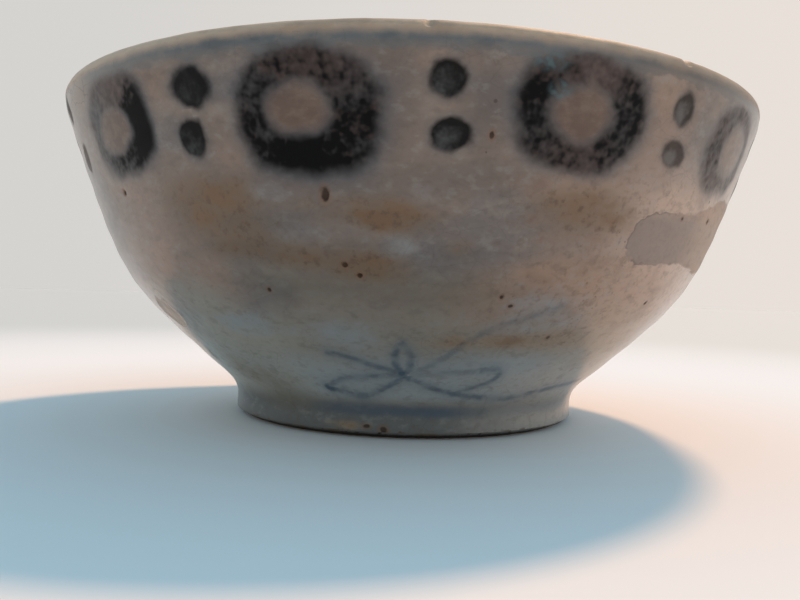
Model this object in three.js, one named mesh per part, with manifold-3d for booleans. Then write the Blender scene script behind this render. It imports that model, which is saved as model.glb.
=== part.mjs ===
// Porcelain bowl of a provincial blue-and-white kind. One thrown body with a turned foot ring carries
// three coats of clear glaze, and the painted marks stand a little proud of the outer coat, where the
// thick pigment has come through it in the fire. Millimetres, +Z up. The origin is on the table, on the
// axis of the foot ring, and the front of the bowl faces -Y.

import * as THREE from 'three';
import { mergeVertices, toCreasedNormals } from 'three/addons/utils/BufferGeometryUtils.js';
import Module from 'manifold-3d';

const wasm = await Module();
wasm.setup();

// Wall and lip, over the glaze
const rimRadius = 75;
const bowlHeight = 66;
const lipThickness = 3.6;
const lipFaceHeight = 1.6;
const wallThickness = 5;
const lowerWallLean = 48.5;
const upperWallLean = 19.5;
const lowerWallReach = 35.5;
const upperWallReach = 38.6;

// Well, base and foot ring
const baseThickness = 5.5;
const wellDepth = 9;
const wellWallReach = 13;
const wellFloorReach = 22;
const footRadius = 38.5;
const footHeight = 6.8;
const footRingWidth = 5.2;
const footRecess = 6;
const footRingTaper = 1.2;
const footBevel = 1;

// Glaze coats, and where they stop short of the lip's round and of the foot's edge
const glazeThickness = 0.5;
const seatGap = 0.05;
const bareLipFace = 0.2;
const wipedFootHeight = 1.4;

// Painted marks: how thick they stand on the glaze, and the row of rings and dots under the lip
const markThickness = 0.2;
const ringCount = 11;
const frontDotAngle = 4.1;
const ringDrop = 12;
const ringWidth = 22.4;
const ringHeight = 15.6;
const ringHoleWidth = 11;
const ringHoleHeight = 8;
const upperDotDrop = 7.9;
const upperDotWidth = 5.8;
const upperDotHeight = 5;
const lowerDotDrop = 15.3;
const lowerDotWidth = 6;
const lowerDotHeight = 4.6;
const lipBandHeight = 1.9;
const footLineDrop = 0.2;
const footLineHeight = 1.8;

// Painted spray on the lower wall
const sprayAngle = 0.3;
const sprayRise = 6.1;
const strokeWidth = 0.8;
const strokeTip = 0.3;

// Each stroke of the spray by a few points, across and up from the knot where the strokes meet. A leaf is
// two strokes that start at the knot and meet again at its tip
const sprayStrokes = {
  uprightLeafLeft: [[0, 0], [-1.8, 1.8], [-2.1, 3.9], [-0.6, 6.2]],
  uprightLeafRight: [[0, 0], [0.9, 1.9], [1, 3.9], [-0.6, 6.2]],
  leftTwig: [[0, 0], [-2.1, 0.8], [-5.8, 1.9], [-9.1, 3.2], [-12.1, 3.9]],
  leftLeafTop: [[0, 0], [-4.2, -0.1], [-9, -0.6], [-15.4, -3.2]],
  leftLeafUnder: [[0, 0], [-2.4, -1.8], [-6.2, -4], [-9.8, -4.6], [-15.4, -3.2]],
  rightLeafTop: [[0, 0], [6, 0.7], [13.7, 1.3], [16.9, 0.8]],
  rightLeafUnder: [[0, 0], [4.6, -2.3], [9.2, -3.6], [13.4, -4], [16.6, -2], [16.9, 0.8]],
  trailingStem: [[9.2, -3.6], [13.4, -4.2], [22.6, -4.8], [32, -3.5], [44.7, -2.2]],
  risingStem: [[0, 0], [4.5, 2.4], [7.6, 5.4], [11.2, 8.8], [15.2, 11], [20.1, 13.2]],
};

// Fineness of the curves
const roundSegments = 48;
const wallSegments = 6;
const lipSegments = 4;
const wellSegments = 4;
const ringSegments = 16;
const dotSegments = 10;
const pointsPerStroke = 5;
const cutterReach = 3;
const creaseAngle = 35;
const curvePrecision = 1e-9;
const weldDistance = 1e-5;

const lipRound = lipThickness / 2;
const roundStart = bowlHeight - lipRound;
const faceBottom = roundStart - lipFaceHeight;
const glazeTop = roundStart - bareLipFace;
const coatDepth = glazeThickness + seatGap;
const floorHeight = footRecess + baseThickness;

const radians = THREE.MathUtils.degToRad;
const point = (radius, height) => new THREE.Vector2(radius, height);

// The way a wall leaning outwards by this angle climbs
function climb(lean) {
  return point(Math.sin(radians(lean)), Math.cos(radians(lean)));
}

// Outer wall from the top of the foot ring to the lip's upright face, as one sweep of the potter's rib
function outerWallCurve() {
  const start = point(footRadius, footHeight);
  const end = point(rimRadius, faceBottom);
  const belly = start.clone().addScaledVector(climb(lowerWallLean), lowerWallReach);
  const shoulder = end.clone().addScaledVector(climb(upperWallLean), -upperWallReach);
  return new THREE.CubicBezierCurve(start, belly, shoulder, end);
}

// Glazed outside, from the wiped edge of the foot ring up to the bare lip
function outerSurface() {
  return [
    point(footRadius, wipedFootHeight),
    ...outerWallCurve().getPoints(wallSegments),
    point(rimRadius, glazeTop),
  ];
}

// A point of the inner wall lies square in from the outer wall, through a wall that thickens downwards
function innerWallPoint(curve, share) {
  const along = curve.getTangent(share);
  const thickness = THREE.MathUtils.lerp(wallThickness, lipThickness, share);
  return curve.getPoint(share).add(point(-along.y, along.x).multiplyScalar(thickness));
}

// Share of the outer curve whose inner point has a given height
function shareAtInnerHeight(curve, height) {
  let low = 0;
  let high = 1;
  while (high - low > curvePrecision) {
    const middle = (low + high) / 2;
    if (innerWallPoint(curve, middle).y < height) {
      low = middle;
    } else {
      high = middle;
    }
  }
  return low;
}

// Glazed inside, from the bare lip down the wall and round the well to the middle of the floor
function innerSurface() {
  const curve = outerWallCurve();
  const wellShare = shareAtInnerHeight(curve, floorHeight + wellDepth);
  const wall = [];
  for (let step = 1; step <= wallSegments; step += 1) {
    const share = THREE.MathUtils.lerp(1, wellShare, step / wallSegments);
    wall.push(innerWallPoint(curve, share));
  }
  const wellTop = wall.pop();
  const downWall = curve.getTangent(wellShare).negate();
  const middle = point(0, floorHeight);
  const well = new THREE.CubicBezierCurve(
    wellTop,
    wellTop.clone().addScaledVector(downWall, wellWallReach),
    middle.clone().add(point(wellFloorReach, 0)),
    middle,
  );
  return [point(rimRadius - lipThickness, glazeTop), ...wall, ...well.getPoints(wellSegments)];
}

// Glazed hollow inside the foot ring, from its middle out and down to the wiped edge
function recessSurface() {
  const edge = footRadius - footRingWidth;
  return [
    point(0, footRecess),
    point(edge - 2 * footRingTaper, footRecess),
    point(edge - footRingTaper, footRecess - footRingTaper),
    point(edge, wipedFootHeight),
  ];
}

// Round of the lip, from its outer side over the crown to its inner side
function lipCrown() {
  const middle = point(rimRadius - lipRound, roundStart);
  const crown = [];
  for (let step = 0; step <= lipSegments; step += 1) {
    const turn = (Math.PI * step) / lipSegments;
    crown.push(point(Math.cos(turn), Math.sin(turn)).multiplyScalar(lipRound).add(middle));
  }
  return crown;
}

// The same line moved square to itself, into the clay when the depth is positive
function moved(line, depth) {
  return line.map((here, index) => {
    const before = line[index - 1] ?? here;
    const after = line[index + 1] ?? here;
    const arriving = here.clone().sub(before).normalize();
    const leaving = after.clone().sub(here).normalize();
    const along = arriving.clone().add(leaving).normalize();
    if (here.x === 0) return point(0, here.y + depth * Math.sign(along.x));
    const mitred = depth / Math.max(along.dot(arriving), along.dot(leaving));
    return point(here.x - along.y * mitred, here.y + along.x * mitred);
  });
}

// Section of a coat that lies on a surface, between two depths under it
function coatSection(surface, top, bottom) {
  return [...moved(surface, top), ...moved(surface, bottom).reverse()];
}

// Solid of a closed geometry, with shared corners merged and empty triangles left out
function solidOf(geometry) {
  geometry.deleteAttribute('normal');
  geometry.deleteAttribute('uv');
  const merged = mergeVertices(geometry, weldDistance);
  const corners = merged.index.array;
  const kept = [];
  for (let corner = 0; corner < corners.length; corner += 3) {
    const [a, b, c] = corners.slice(corner, corner + 3);
    if (a !== b && b !== c && c !== a) kept.push(a, b, c);
  }
  const vertProperties = new Float32Array(merged.attributes.position.array);
  return new wasm.Manifold(new wasm.Mesh({ numProp: 3, vertProperties, triVerts: new Uint32Array(kept) }));
}

// Section turned once round the axis. A section that doesn't end on the axis closes on itself
function turned(section) {
  const onAxis = section[0].x === 0 && section[section.length - 1].x === 0;
  const outline = onAxis ? section : [...section, section[0]];
  return solidOf(new THREE.LatheGeometry(outline, roundSegments).rotateX(Math.PI / 2));
}

// Radius of the outer wall at a height, over the glaze
function wallRadius(height) {
  const line = outerSurface();
  const upper = line.findIndex((place) => place.y >= height);
  const low = line[Math.max(upper, 1) - 1];
  const high = line[Math.max(upper, 1)];
  return THREE.MathUtils.mapLinear(height, low.y, high.y, low.x, high.x);
}

// Cutter that looks at the wall from the axis: a flat outline in millimetres, across and up from a
// place on the wall, wrapped round the bowl and carried from just inside the wall to just outside it
function radialCutter(outline, angle, height) {
  const geometry = new THREE.ExtrudeGeometry(outline, { depth: 1, bevelEnabled: false, curveSegments: 1 });
  geometry.computeBoundingBox();
  const positions = geometry.attributes.position;
  const placeRadius = wallRadius(height);
  const nearRadius = wallRadius(height + geometry.boundingBox.min.y) - cutterReach;
  const farRadius = wallRadius(height + geometry.boundingBox.max.y) + cutterReach;
  for (let index = 0; index < positions.count; index += 1) {
    const turn = radians(angle) + positions.getX(index) / placeRadius;
    const radius = THREE.MathUtils.lerp(nearRadius, farRadius, positions.getZ(index));
    const level = height + positions.getY(index);
    positions.setXYZ(index, radius * Math.sin(turn), -radius * Math.cos(turn), level);
  }
  return solidOf(geometry);
}

// Oval in straight steps
function ovalPoints(width, height, steps) {
  const points = [];
  for (let step = 0; step < steps; step += 1) {
    const turn = (2 * Math.PI * step) / steps;
    points.push(point((width / 2) * Math.cos(turn), (height / 2) * Math.sin(turn)));
  }
  return points;
}

function dotOutline(width, height) {
  return new THREE.Shape(ovalPoints(width, height, dotSegments));
}

function ringOutline() {
  const outline = new THREE.Shape(ovalPoints(ringWidth, ringHeight, ringSegments));
  outline.holes.push(new THREE.Path(ovalPoints(ringHoleWidth, ringHoleHeight, ringSegments)));
  return outline;
}

// Brush stroke along a smooth line, full in the middle and narrow at both tips
function strokeOutline(places) {
  const line = new THREE.SplineCurve(places.map(([across, up]) => point(across, up)));
  const left = [];
  const right = [];
  for (let step = 0; step <= pointsPerStroke; step += 1) {
    const share = step / pointsPerStroke;
    const along = line.getTangentAt(share);
    const middle = line.getPointAt(share);
    const half = THREE.MathUtils.lerp(strokeTip, strokeWidth, Math.sin(Math.PI * share)) / 2;
    left.push(point(middle.x - along.y * half, middle.y + along.x * half));
    right.push(point(middle.x + along.y * half, middle.y - along.x * half));
  }
  return new THREE.Shape([...right, ...left.reverse()]);
}

// Cutter of the whole spray, whose strokes run into each other
function sprayCutter() {
  const strokes = Object.values(sprayStrokes).map((places) =>
    radialCutter(strokeOutline(places), sprayAngle, footHeight + sprayRise),
  );
  return strokes.reduce((spray, stroke) => spray.add(stroke));
}

// Cutter of a line painted right round the bowl, from its top down
function bandCutter(top, height) {
  const near = wallRadius(top - height) - cutterReach;
  const far = wallRadius(top) + cutterReach;
  return turned([point(near, top - height), point(far, top - height), point(far, top), point(near, top)]);
}

// Rings and pairs of dots by turns round the bowl, from the pair of dots at the front
function rowMarks() {
  const marks = [];
  const pitch = 360 / ringCount;
  const ring = ringOutline();
  const upperDot = dotOutline(upperDotWidth, upperDotHeight);
  const lowerDot = dotOutline(lowerDotWidth, lowerDotHeight);
  for (let index = 0; index < ringCount; index += 1) {
    const number = String(index + 1).padStart(2, '0');
    const dotAngle = frontDotAngle + index * pitch;
    const ringAngle = dotAngle + pitch / 2;
    marks.push(
      { name: `painted_ring_${number}`, cutter: radialCutter(ring, ringAngle, bowlHeight - ringDrop) },
      { name: `upper_dot_${number}`, cutter: radialCutter(upperDot, dotAngle, bowlHeight - upperDotDrop) },
      { name: `lower_dot_${number}`, cutter: radialCutter(lowerDot, dotAngle, bowlHeight - lowerDotDrop) },
    );
  }
  return marks;
}

// The clay: recessed under the glaze on every glazed side, bare and full at the lip and the foot's edge
function porcelainBody() {
  const outside = moved(outerSurface(), coatDepth);
  const inside = moved(innerSurface(), coatDepth);
  const recess = moved(recessSurface(), coatDepth);
  const ringOutside = footRadius - coatDepth;
  const ringInside = recess[recess.length - 1].x;
  const lipLedge = glazeTop + seatGap;
  return turned([
    ...recess,
    point(ringInside, footBevel),
    point(ringInside + footBevel, 0),
    point(ringOutside - footBevel, 0),
    point(ringOutside, footBevel),
    ...outside,
    point(rimRadius - coatDepth, lipLedge),
    point(rimRadius, lipLedge),
    ...lipCrown(),
    point(rimRadius - lipThickness, lipLedge),
    point(rimRadius - lipThickness + coatDepth, lipLedge),
    ...inside,
  ]);
}

const finishes = {
  clay: { color: 0xc9b8a4, roughness: 0.8, metalness: 0 },
  glaze: { color: 0xb9ada3, roughness: 0.32, metalness: 0 },
  iron: { color: 0x2b2627, roughness: 0.6, metalness: 0 },
  cobalt: { color: 0x64758a, roughness: 0.4, metalness: 0 },
  wash: { color: 0x7d8a92, roughness: 0.4, metalness: 0 },
};

// Named mesh of a finished solid, in its own material
function meshOf(name, solid, finish) {
  const { vertProperties, triVerts } = solid.getMesh();
  const geometry = new THREE.BufferGeometry();
  geometry.setAttribute('position', new THREE.BufferAttribute(vertProperties, 3));
  geometry.setIndex(new THREE.BufferAttribute(triVerts, 1));
  const shaded = toCreasedNormals(geometry, radians(creaseAngle));
  const mesh = new THREE.Mesh(shaded, new THREE.MeshStandardMaterial(finishes[finish]));
  mesh.name = name;
  return mesh;
}

// Every painted mark is the part of one thin layer over the outer coat that its cutter takes out
function paintedMarks() {
  const layer = turned(coatSection(outerSurface(), -seatGap - markThickness, -seatGap));
  const marked = (name, cutter, finish) => meshOf(name, layer.intersect(cutter), finish);
  return [
    ...rowMarks().map(({ name, cutter }) => marked(name, cutter, 'iron')),
    marked('painted_spray', sprayCutter(), 'cobalt'),
    marked('lip_band', bandCutter(glazeTop, lipBandHeight), 'wash'),
    marked('foot_line', bandCutter(footHeight - footLineDrop, footLineHeight), 'wash'),
  ];
}

// Coat of clear glaze over one of the bowl's surfaces
function glazeCoat(name, surface) {
  return meshOf(name, turned(coatSection(surface, 0, glazeThickness)), 'glaze');
}

const bowl = new THREE.Group();
bowl.add(meshOf('porcelain_body', porcelainBody(), 'clay'));
bowl.add(glazeCoat('outer_glaze', outerSurface()));
bowl.add(glazeCoat('inner_glaze', innerSurface()));
bowl.add(glazeCoat('foot_well_glaze', recessSurface()));
bowl.add(...paintedMarks());

export default bowl;
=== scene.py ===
import math
import random

import bmesh
import bpy
from mathutils import Matrix, Vector, noise
from mathutils.geometry import interpolate_bezier


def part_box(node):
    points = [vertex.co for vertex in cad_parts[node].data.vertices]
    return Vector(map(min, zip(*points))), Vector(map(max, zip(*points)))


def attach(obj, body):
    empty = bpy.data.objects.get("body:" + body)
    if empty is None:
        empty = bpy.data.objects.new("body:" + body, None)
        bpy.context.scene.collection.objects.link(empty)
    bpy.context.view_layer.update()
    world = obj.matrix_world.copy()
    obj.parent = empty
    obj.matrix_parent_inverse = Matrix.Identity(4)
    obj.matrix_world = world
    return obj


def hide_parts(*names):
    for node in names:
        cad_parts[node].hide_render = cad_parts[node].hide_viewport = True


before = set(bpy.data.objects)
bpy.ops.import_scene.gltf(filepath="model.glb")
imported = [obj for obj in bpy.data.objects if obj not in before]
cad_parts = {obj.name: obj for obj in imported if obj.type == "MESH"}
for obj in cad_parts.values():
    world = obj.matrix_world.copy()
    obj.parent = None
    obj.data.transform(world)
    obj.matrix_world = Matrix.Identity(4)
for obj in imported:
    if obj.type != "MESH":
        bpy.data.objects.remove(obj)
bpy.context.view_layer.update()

# The thrown clay
# One piece of porcelain, thrown on the wheel and turned to its foot ring when half dry. Glaze hides most
# of it: the clay shows only round the worn lip and on the wiped edge that the bowl stands on.
MM = 0.001
clay_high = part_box("porcelain_body")[1]
rim_radius = clay_high.x
bowl_height = clay_high.z
lip_thickness = 3.6 * MM
lip_face_height = 1.6 * MM
wall_thickness = 5 * MM
lower_wall_lean = math.radians(48.5)
upper_wall_lean = math.radians(19.5)
lower_wall_reach = 35.5 * MM
upper_wall_reach = 38.6 * MM
floor_height = 11.5 * MM
well_depth = 9 * MM
well_wall_reach = 13 * MM
well_floor_reach = 22 * MM
foot_radius = 38.5 * MM
foot_height = 6.8 * MM
foot_ring_width = 5.2 * MM
foot_recess = 6 * MM
foot_ring_taper = 1.2 * MM
foot_bevel = 1 * MM
glaze_thickness = 0.5 * MM
seat_gap = 0.05 * MM
wiped_foot_height = 1.4 * MM
lip_round = lip_thickness / 2
lip_inner_radius = rim_radius - lip_thickness
round_start = bowl_height - lip_round
face_bottom = round_start - lip_face_height
glaze_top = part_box("outer_glaze")[1].z
coat_depth = glaze_thickness + seat_gap
turns = 400
sectors = 8
fine = 0.6 * MM
coarse = 2.4 * MM
edge_spacing = 0.35 * MM
curve_points = 160
crown_steps = 18
wall_softening = 16
inside_softening = 2
recess_softening = 4
foot_edge_softening = 2
sharp_edge = math.radians(38)


def spot(radius, height):
    """A point of the bowl's section, which is drawn in the plane of the X and Z axes."""
    return Vector((radius, 0, height))


def climb(lean):
    """The way a wall leaning outwards by this angle climbs."""
    return spot(math.sin(lean), math.cos(lean))


def evenly(line, spacing):
    """The same line, through points about this far apart, with its two ends kept."""
    lengths = [(after - before).length for before, after in zip(line, line[1:])]
    steps = max(1, round(sum(lengths) / spacing))
    places = [line[0]]
    reached = 0
    index = 0
    for step in range(1, steps):
        target = sum(lengths) * step / steps
        while reached + lengths[index] < target:
            reached += lengths[index]
            index += 1
        places.append(line[index].lerp(line[index + 1], (target - reached) / lengths[index]))
    return places + [line[-1]]


def softened(line, passes):
    """The same line with its corners rounded, as a wet sponge leaves them."""
    for _ in range(passes):
        middle = [(a + 2 * b + c) / 4 for a, b, c in zip(line, line[1:], line[2:])]
        line = [line[0], *middle, line[-1]]
    return line


def moved(line, depth):
    """The same line moved square to itself, into the clay, by a depth for each point."""
    inner = []
    for index, here in enumerate(line):
        before = line[max(index - 1, 0)]
        after = line[min(index + 1, len(line) - 1)]
        along = (after - before).normalized()
        if here.x < seat_gap:
            along = spot(math.copysign(1, along.x), 0)
        inner.append(here + spot(-along.z, along.x) * depth(index / (len(line) - 1)))
    return inner


def steadily(depth):
    """The same depth for every point of a line."""
    return lambda share: depth


wall_start = spot(foot_radius, foot_height)
wall_end = spot(rim_radius, face_bottom)
outer_wall = interpolate_bezier(
    wall_start,
    wall_start + climb(lower_wall_lean) * lower_wall_reach,
    wall_end - climb(upper_wall_lean) * upper_wall_reach,
    wall_end,
    curve_points,
)
outer_line = [spot(foot_radius, wiped_foot_height), *outer_wall, spot(rim_radius, glaze_top)]
outer_surface = softened(evenly(outer_line, fine), wall_softening)
inner_wall = moved(outer_wall, lambda share: wall_thickness + (lip_thickness - wall_thickness) * share)
inner_wall = [place for place in reversed(inner_wall) if place.z > floor_height + well_depth]
down_wall = (inner_wall[-1] - inner_wall[-2]).normalized()
well = interpolate_bezier(
    inner_wall[-1],
    inner_wall[-1] + down_wall * well_wall_reach,
    spot(well_floor_reach, floor_height),
    spot(0, floor_height),
    curve_points,
)
inner_line = [spot(lip_inner_radius, glaze_top), *inner_wall, *well[1:]]
inner_surface = softened(evenly(inner_line, fine), inside_softening)
recess_edge = foot_radius - foot_ring_width
recess_line = [
    spot(0, foot_recess),
    spot(recess_edge - 2 * foot_ring_taper, foot_recess),
    spot(recess_edge - foot_ring_taper, foot_recess - foot_ring_taper),
    spot(recess_edge, wiped_foot_height),
]
recess_surface = softened(evenly(recess_line, fine), recess_softening)


def kiln_warp(place):
    """A point of the true wheel shape, moved to where the hand and the fire left it."""
    around = math.atan2(place.x, -place.y)
    share = (place.z / bowl_height) ** 2
    out = 1 + share * (0.0022 * math.cos(2 * around + 0.6) + 0.0011 * math.cos(3 * around - 1.2))
    lift = share * MM * (0.22 * math.cos(2 * around + 1.9) + 0.1 * math.cos(5 * around))
    return Vector((place.x * out, place.y * out, place.z + lift))


def turned(section, closed, face=lambda index: 0):
    """A mesh of the section turned once round the axis. The layer shown marks its visible side."""
    mesh = bmesh.new()
    shown = mesh.verts.layers.float.new("shown")
    corners = []
    for index, place in enumerate(section):
        corner = mesh.verts.new(place)
        corner[shown] = face(index)
        corners.append(corner)
    pairs = list(zip(corners, corners[1:]))
    if closed:
        pairs.append((corners[-1], corners[0]))
    edges = [mesh.edges.new(pair) for pair in pairs]
    axis = {"cent": (0, 0, 0), "axis": (0, 0, 1)}
    bmesh.ops.spin(mesh, geom=corners + edges, angle=2 * math.pi / sectors, steps=turns // sectors, **axis)
    done = 1
    while done < sectors:
        copy = bmesh.ops.duplicate(mesh, geom=mesh.verts[:] + mesh.edges[:] + mesh.faces[:])
        copied = [part for part in copy["geom"] if isinstance(part, bmesh.types.BMVert)]
        onward = Matrix.Rotation(2 * math.pi * done / sectors, 3, "Z")
        bmesh.ops.rotate(mesh, verts=copied, cent=(0, 0, 0), matrix=onward)
        done *= 2
    bmesh.ops.remove_doubles(mesh, verts=mesh.verts, dist=seat_gap / 10)
    bmesh.ops.recalc_face_normals(mesh, faces=mesh.faces)
    return mesh


def wall_distance(place, angle, height):
    """How far a point lies across and up from a place on the bowl, over the curve of the wall."""
    turn = math.atan2(place.x, -place.y) - math.radians(angle)
    turn = (turn + math.pi) % (2 * math.pi) - math.pi
    return turn * math.hypot(place.x, place.y), place.z - height


def dent(place, hollow):
    """Depth at a point of a hollow given by its angle, height, width, height across and depth."""
    if abs(place.z / MM - hollow["height"]) > hollow["tall"]:
        return 0
    across, up = wall_distance(place, hollow["angle"], hollow["height"] * MM)
    reach = math.hypot(across / hollow["wide"], up / hollow["tall"]) / (MM / 2)
    if reach >= 1:
        return 0
    return hollow["deep"] * MM * min(1, (1 - reach * reach) * 1.6)


def uneven(place, height, closeness):
    """Fine unevenness at a point, of this height in millimetres. More closeness gives smaller bumps."""
    return height * MM * noise.noise(place * closeness)


def refined(mesh, hollows, cuts):
    """Cuts the faces round each hollow finer, so that its edge is in the mesh."""
    reach = 0.75
    for hollow in hollows:
        edges = []
        for edge in mesh.edges:
            middle = (edge.verts[0].co + edge.verts[1].co) / 2
            if abs(middle.z - hollow["height"] * MM) > hollow["tall"] * MM:
                continue
            across, up = wall_distance(middle, hollow["angle"], hollow["height"] * MM)
            if abs(across) < hollow["wide"] * reach * MM and abs(up) < hollow["tall"] * reach * MM:
                edges.append(edge)
        if edges:
            bmesh.ops.subdivide_edges(mesh, edges=edges, cuts=cuts, use_grid_fill=True)


def finished(name, mesh, finish, nodes):
    """Turns a mesh into a piece that rides with the bowl, and hides the CAD nodes whose place it takes."""
    for face in mesh.faces:
        face.smooth = True
    data = bpy.data.meshes.new(name)
    mesh.to_mesh(data)
    mesh.free()
    data.set_sharp_from_angle(angle=sharp_edge)
    data.materials.append(finish)
    piece = bpy.data.objects.new(name, data)
    bpy.context.scene.collection.objects.link(piece)
    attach(piece, "root")
    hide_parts(*nodes)


def table(names, rows):
    """Rows of values, each value under its name. Angles are in degrees and lengths in millimetres."""
    return [dict(zip(names.split(), row)) for row in rows]


def seen(red, green, blue):
    """A colour as it looks on a screen, from 0 to 255, in the shader's own linear light."""
    shares = [channel / 255 for channel in (red, green, blue)]
    return tuple(((s + 0.055) / 1.055) ** 2.4 if s > 0.04045 else s / 12.92 for s in shares) + (1,)


class Wire:
    """One socket of a finish. Expressions on wires add Math nodes, and node() adds any other node."""

    def __init__(self, tree, socket=None):
        self.tree = tree
        self.socket = socket

    def node(self, kind, settings=None, inputs=None, output=0):
        node = self.tree.nodes.new(kind)
        for name, value in (settings or {}).items():
            setattr(node, name, value)
        for name, value in (inputs or {}).items():
            if isinstance(value, Wire):
                self.tree.links.new(value.socket, node.inputs[name])
            else:
                node.inputs[name].default_value = value
        return Wire(self.tree, node.outputs[output])

    def even(self, colour):
        """One colour everywhere, for others to be laid over."""
        wire = self.node("ShaderNodeRGB")
        wire.socket.default_value = colour
        return wire

    def maths(self, operation, *values):
        return self.node("ShaderNodeMath", {"operation": operation}, dict(enumerate(values)))

    def __add__(self, other):
        return self.maths("ADD", self, other)

    __radd__ = __add__

    def __sub__(self, other):
        return self.maths("SUBTRACT", self, other)

    def __rsub__(self, other):
        return self.maths("SUBTRACT", other, self)

    def __mul__(self, other):
        return self.maths("MULTIPLY", self, other)

    __rmul__ = __mul__

    def __truediv__(self, other):
        return self.maths("DIVIDE", self, other)

    def rising(self, low, high):
        """0 below low and 1 above high, with a soft step between. With low over high it falls."""
        settings = {"interpolation_type": "SMOOTHSTEP"}
        if low > high:
            return 1 - self.rising(high, low)
        return self.node("ShaderNodeMapRange", settings, {0: self, 1: low, 2: high, 3: 0, 4: 1})

    def most(self, other):
        return self.maths("MAXIMUM", self, other)

    def least(self, other):
        return self.maths("MINIMUM", self, other)

    def coat(self, over, share):
        """This colour with another laid over it where the share is 1."""
        inputs = {0: share, 6: self, 7: over}
        return self.node("ShaderNodeMix", {"data_type": "RGBA"}, inputs, 2)

    def beside(self, output):
        """Another output of the node that this wire comes from."""
        return Wire(self.tree, self.socket.node.outputs[output])

    def parts(self):
        """The three parts of a colour or a place."""
        split = self.node("ShaderNodeSeparateXYZ", inputs={0: self})
        return split, split.beside(1), split.beside(2)

    def specks(self, apart, largest, share):
        """Round specks this far apart, up to a radius in millimetres, in a share of the places."""
        gap = self.node("ShaderNodeTexVoronoi", inputs={"Vector": self, "Scale": 1 / apart})
        lot = gap.beside("Color").parts()[0]
        return ((lot - (1 - share)) * (largest / share) - gap * apart).rising(-0.02, 0.4 * largest)

    def grain(self, size, detail=2, roughness=0.5):
        """Clouds of about this size in millimetres, from 0 to 1, at the places this wire gives."""
        inputs = {"Vector": self, "Scale": 1 / size, "Detail": detail, "Roughness": roughness}
        return self.node("ShaderNodeTexNoise", {"noise_dimensions": "3D"}, inputs)

    def crackle(self, bend, size):
        """The fine cracks between cells of this size in millimetres, bent by another wire."""
        bent = self.node("ShaderNodeVectorMath", {"operation": "ADD"}, {0: self, 1: bend})
        inputs = {"Vector": bent, "Scale": 1 / size}
        from_crack = bent.node("ShaderNodeTexVoronoi", {"feature": "DISTANCE_TO_EDGE"}, inputs)
        return (from_crack * size).rising(0.16, 0.02)


def new_finish(name):
    """An empty material with the start of its wires and its shader."""
    material = bpy.data.materials.new(name)
    material.use_nodes = True
    tree = material.node_tree
    return material, Wire(tree), tree.nodes["Principled BSDF"]


def object_places(start):
    """Places on the piece in millimetres, and the same in parts."""
    place = start.node("ShaderNodeTexCoord", output=3)
    place = place.node("ShaderNodeVectorMath", {"operation": "SCALE"}, {0: place, "Scale": 1 / MM})
    return place, place.parts()


def off_axis(x, y):
    """Distance from the bowl's axis, in millimetres."""
    return x.maths("SQRT", x * x + y * y)


def join(wire, shader, socket):
    """Sends a wire to one of the shader's inputs."""
    wire.tree.links.new(wire.socket, shader.inputs[socket])


def raised(height, shader, step):
    """Sends a height from 0 to 1 to the shader's normal, as relief of this many metres."""
    normal = height.node("ShaderNodeBump", inputs={"Strength": 1, "Distance": step, "Height": height})
    join(normal, shader, "Normal")


def soft_grain(place):
    """The blots and the waver that the finishes of the clay and of the glaze share."""
    x, y, z = place.parts()
    flattened = place.node("ShaderNodeCombineXYZ", inputs={0: x, 1: y, 2: z * 1.7})
    return flattened, flattened.grain(7, 4, 0.56), place.grain(3.4, 2, 0.5) - 0.5


def lip_tones(place, z):
    """The blue-grey wash under the lip, the buff of the worn lip, and where the lip is worn."""
    x = place.parts()[0]
    flattened, blots, waver = soft_grain(place)
    torn = flattened.grain(3, 3, 0.55)
    wash = place.even(seen(96, 100, 102))
    wash = wash.coat(seen(118, 112, 107), torn.rising(0.5, 0.68) * 0.6)
    wash = wash.coat(seen(82, 88, 92), blots.rising(0.5, 0.34) * 0.6)
    wash = wash.coat(seen(120, 116, 109), x.rising(-30, -56) * 0.6)
    wash = wash.coat(seen(84, 74, 67), x.rising(18, 46) * 0.7)
    buff = place.even(seen(181, 156, 133))
    buff = buff.coat(seen(160, 137, 116), blots.rising(0.42, 0.66))
    buff = buff.coat(seen(142, 130, 119), torn.rising(0.5, 0.75) * 0.3)
    buff = buff.coat(seen(190, 170, 150), x.rising(-20, -56) * 0.7)
    buff = buff.coat(seen(146, 125, 106), x.rising(15, 50) * 0.5)
    worn = (z + (blots - 0.5) * 1.4 + waver * 0.8 + x.rising(-10, 30) * 0.3).rising(63.1, 65.0)
    return wash, buff, worn


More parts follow.
